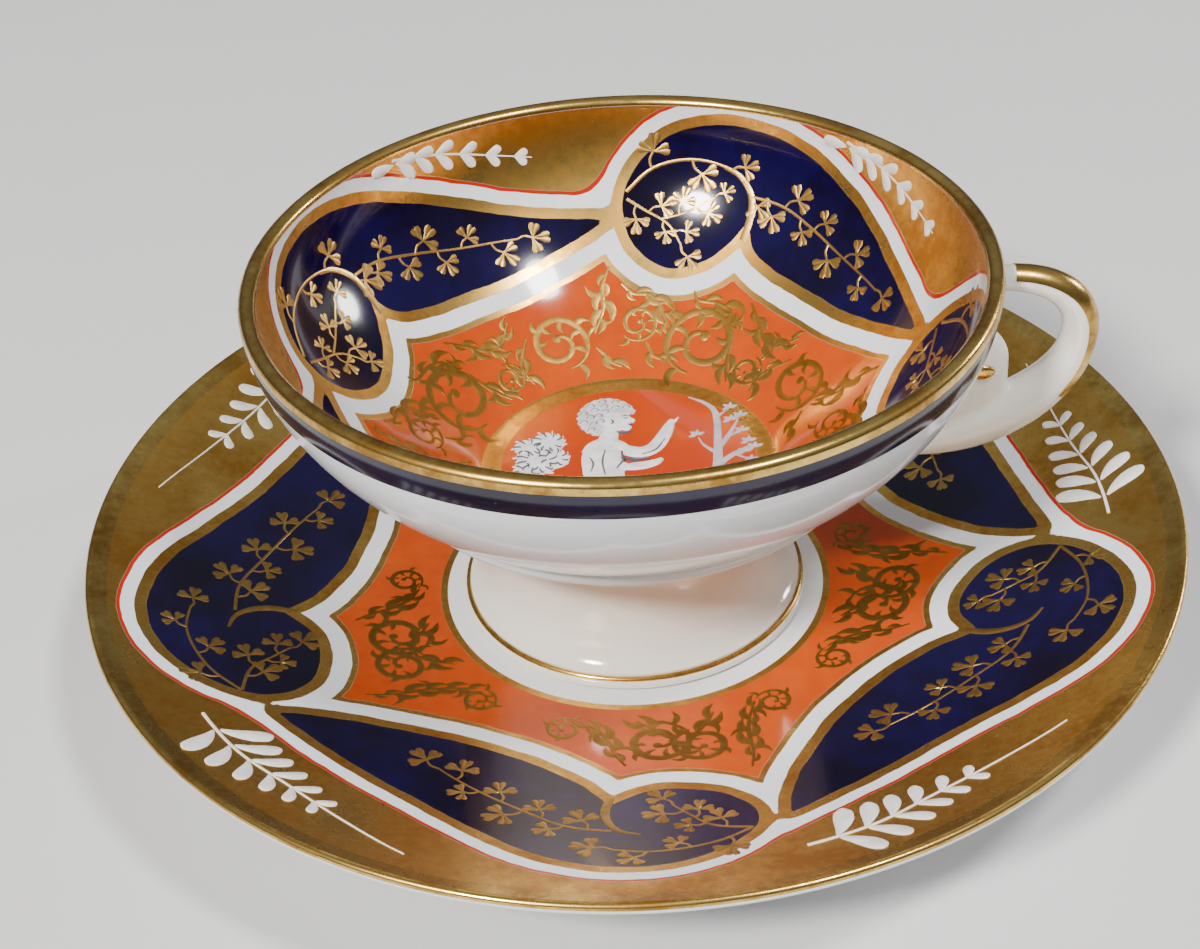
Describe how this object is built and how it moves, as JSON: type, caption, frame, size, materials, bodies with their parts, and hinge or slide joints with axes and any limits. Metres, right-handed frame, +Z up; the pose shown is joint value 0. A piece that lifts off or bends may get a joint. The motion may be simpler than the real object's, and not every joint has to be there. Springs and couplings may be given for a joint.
{
  "type": "teacup",
  "caption": "Footed porcelain teacup with a looped handle and inner spur, gilt lip and cobalt band, standing in its deep painted saucer.",
  "frame": {"origin": "on the common axis of cup and saucer, on the table under the saucer's foot ring", "axes": "+Z up along the axis; +X towards the handle"},
  "size_m": [0.14, 0.14, 0.0541],
  "materials": {
    "white_porcelain": "cool white porcelain under a clear glaze; painted and gilded on the cup's inside and the saucer's top",
    "cream_porcelain": "warm white porcelain under a clear glaze",
    "gilding": "burnished gold fired on glazed porcelain, slightly worn",
    "cobalt_glaze": "deep cobalt blue under a clear glaze"
  },
  "bodies": {
    "saucer": {"saucer_dish": "white_porcelain", "saucer_foot_ring": "cream_porcelain", "saucer_gilt_lip": "gilding"},
    "cup": {"cup_bowl": "white_porcelain", "cup_foot": "cream_porcelain", "cup_gilt_lip": "gilding", "cup_cobalt_band": "cobalt_glaze", "cup_foot_gilt_line": "gilding", "handle_loop": "cream_porcelain", "handle_kick": "cream_porcelain", "handle_back_gilding": "gilding", "handle_eye_front": "gilding", "handle_eye_back": "gilding"}
  },
  "joints": [
    {"name": "cup_lift", "type": "slide", "parent": "saucer", "child": "cup", "axis": [0, 0, 1], "range_m": [0, 0.06]}
  ]
}
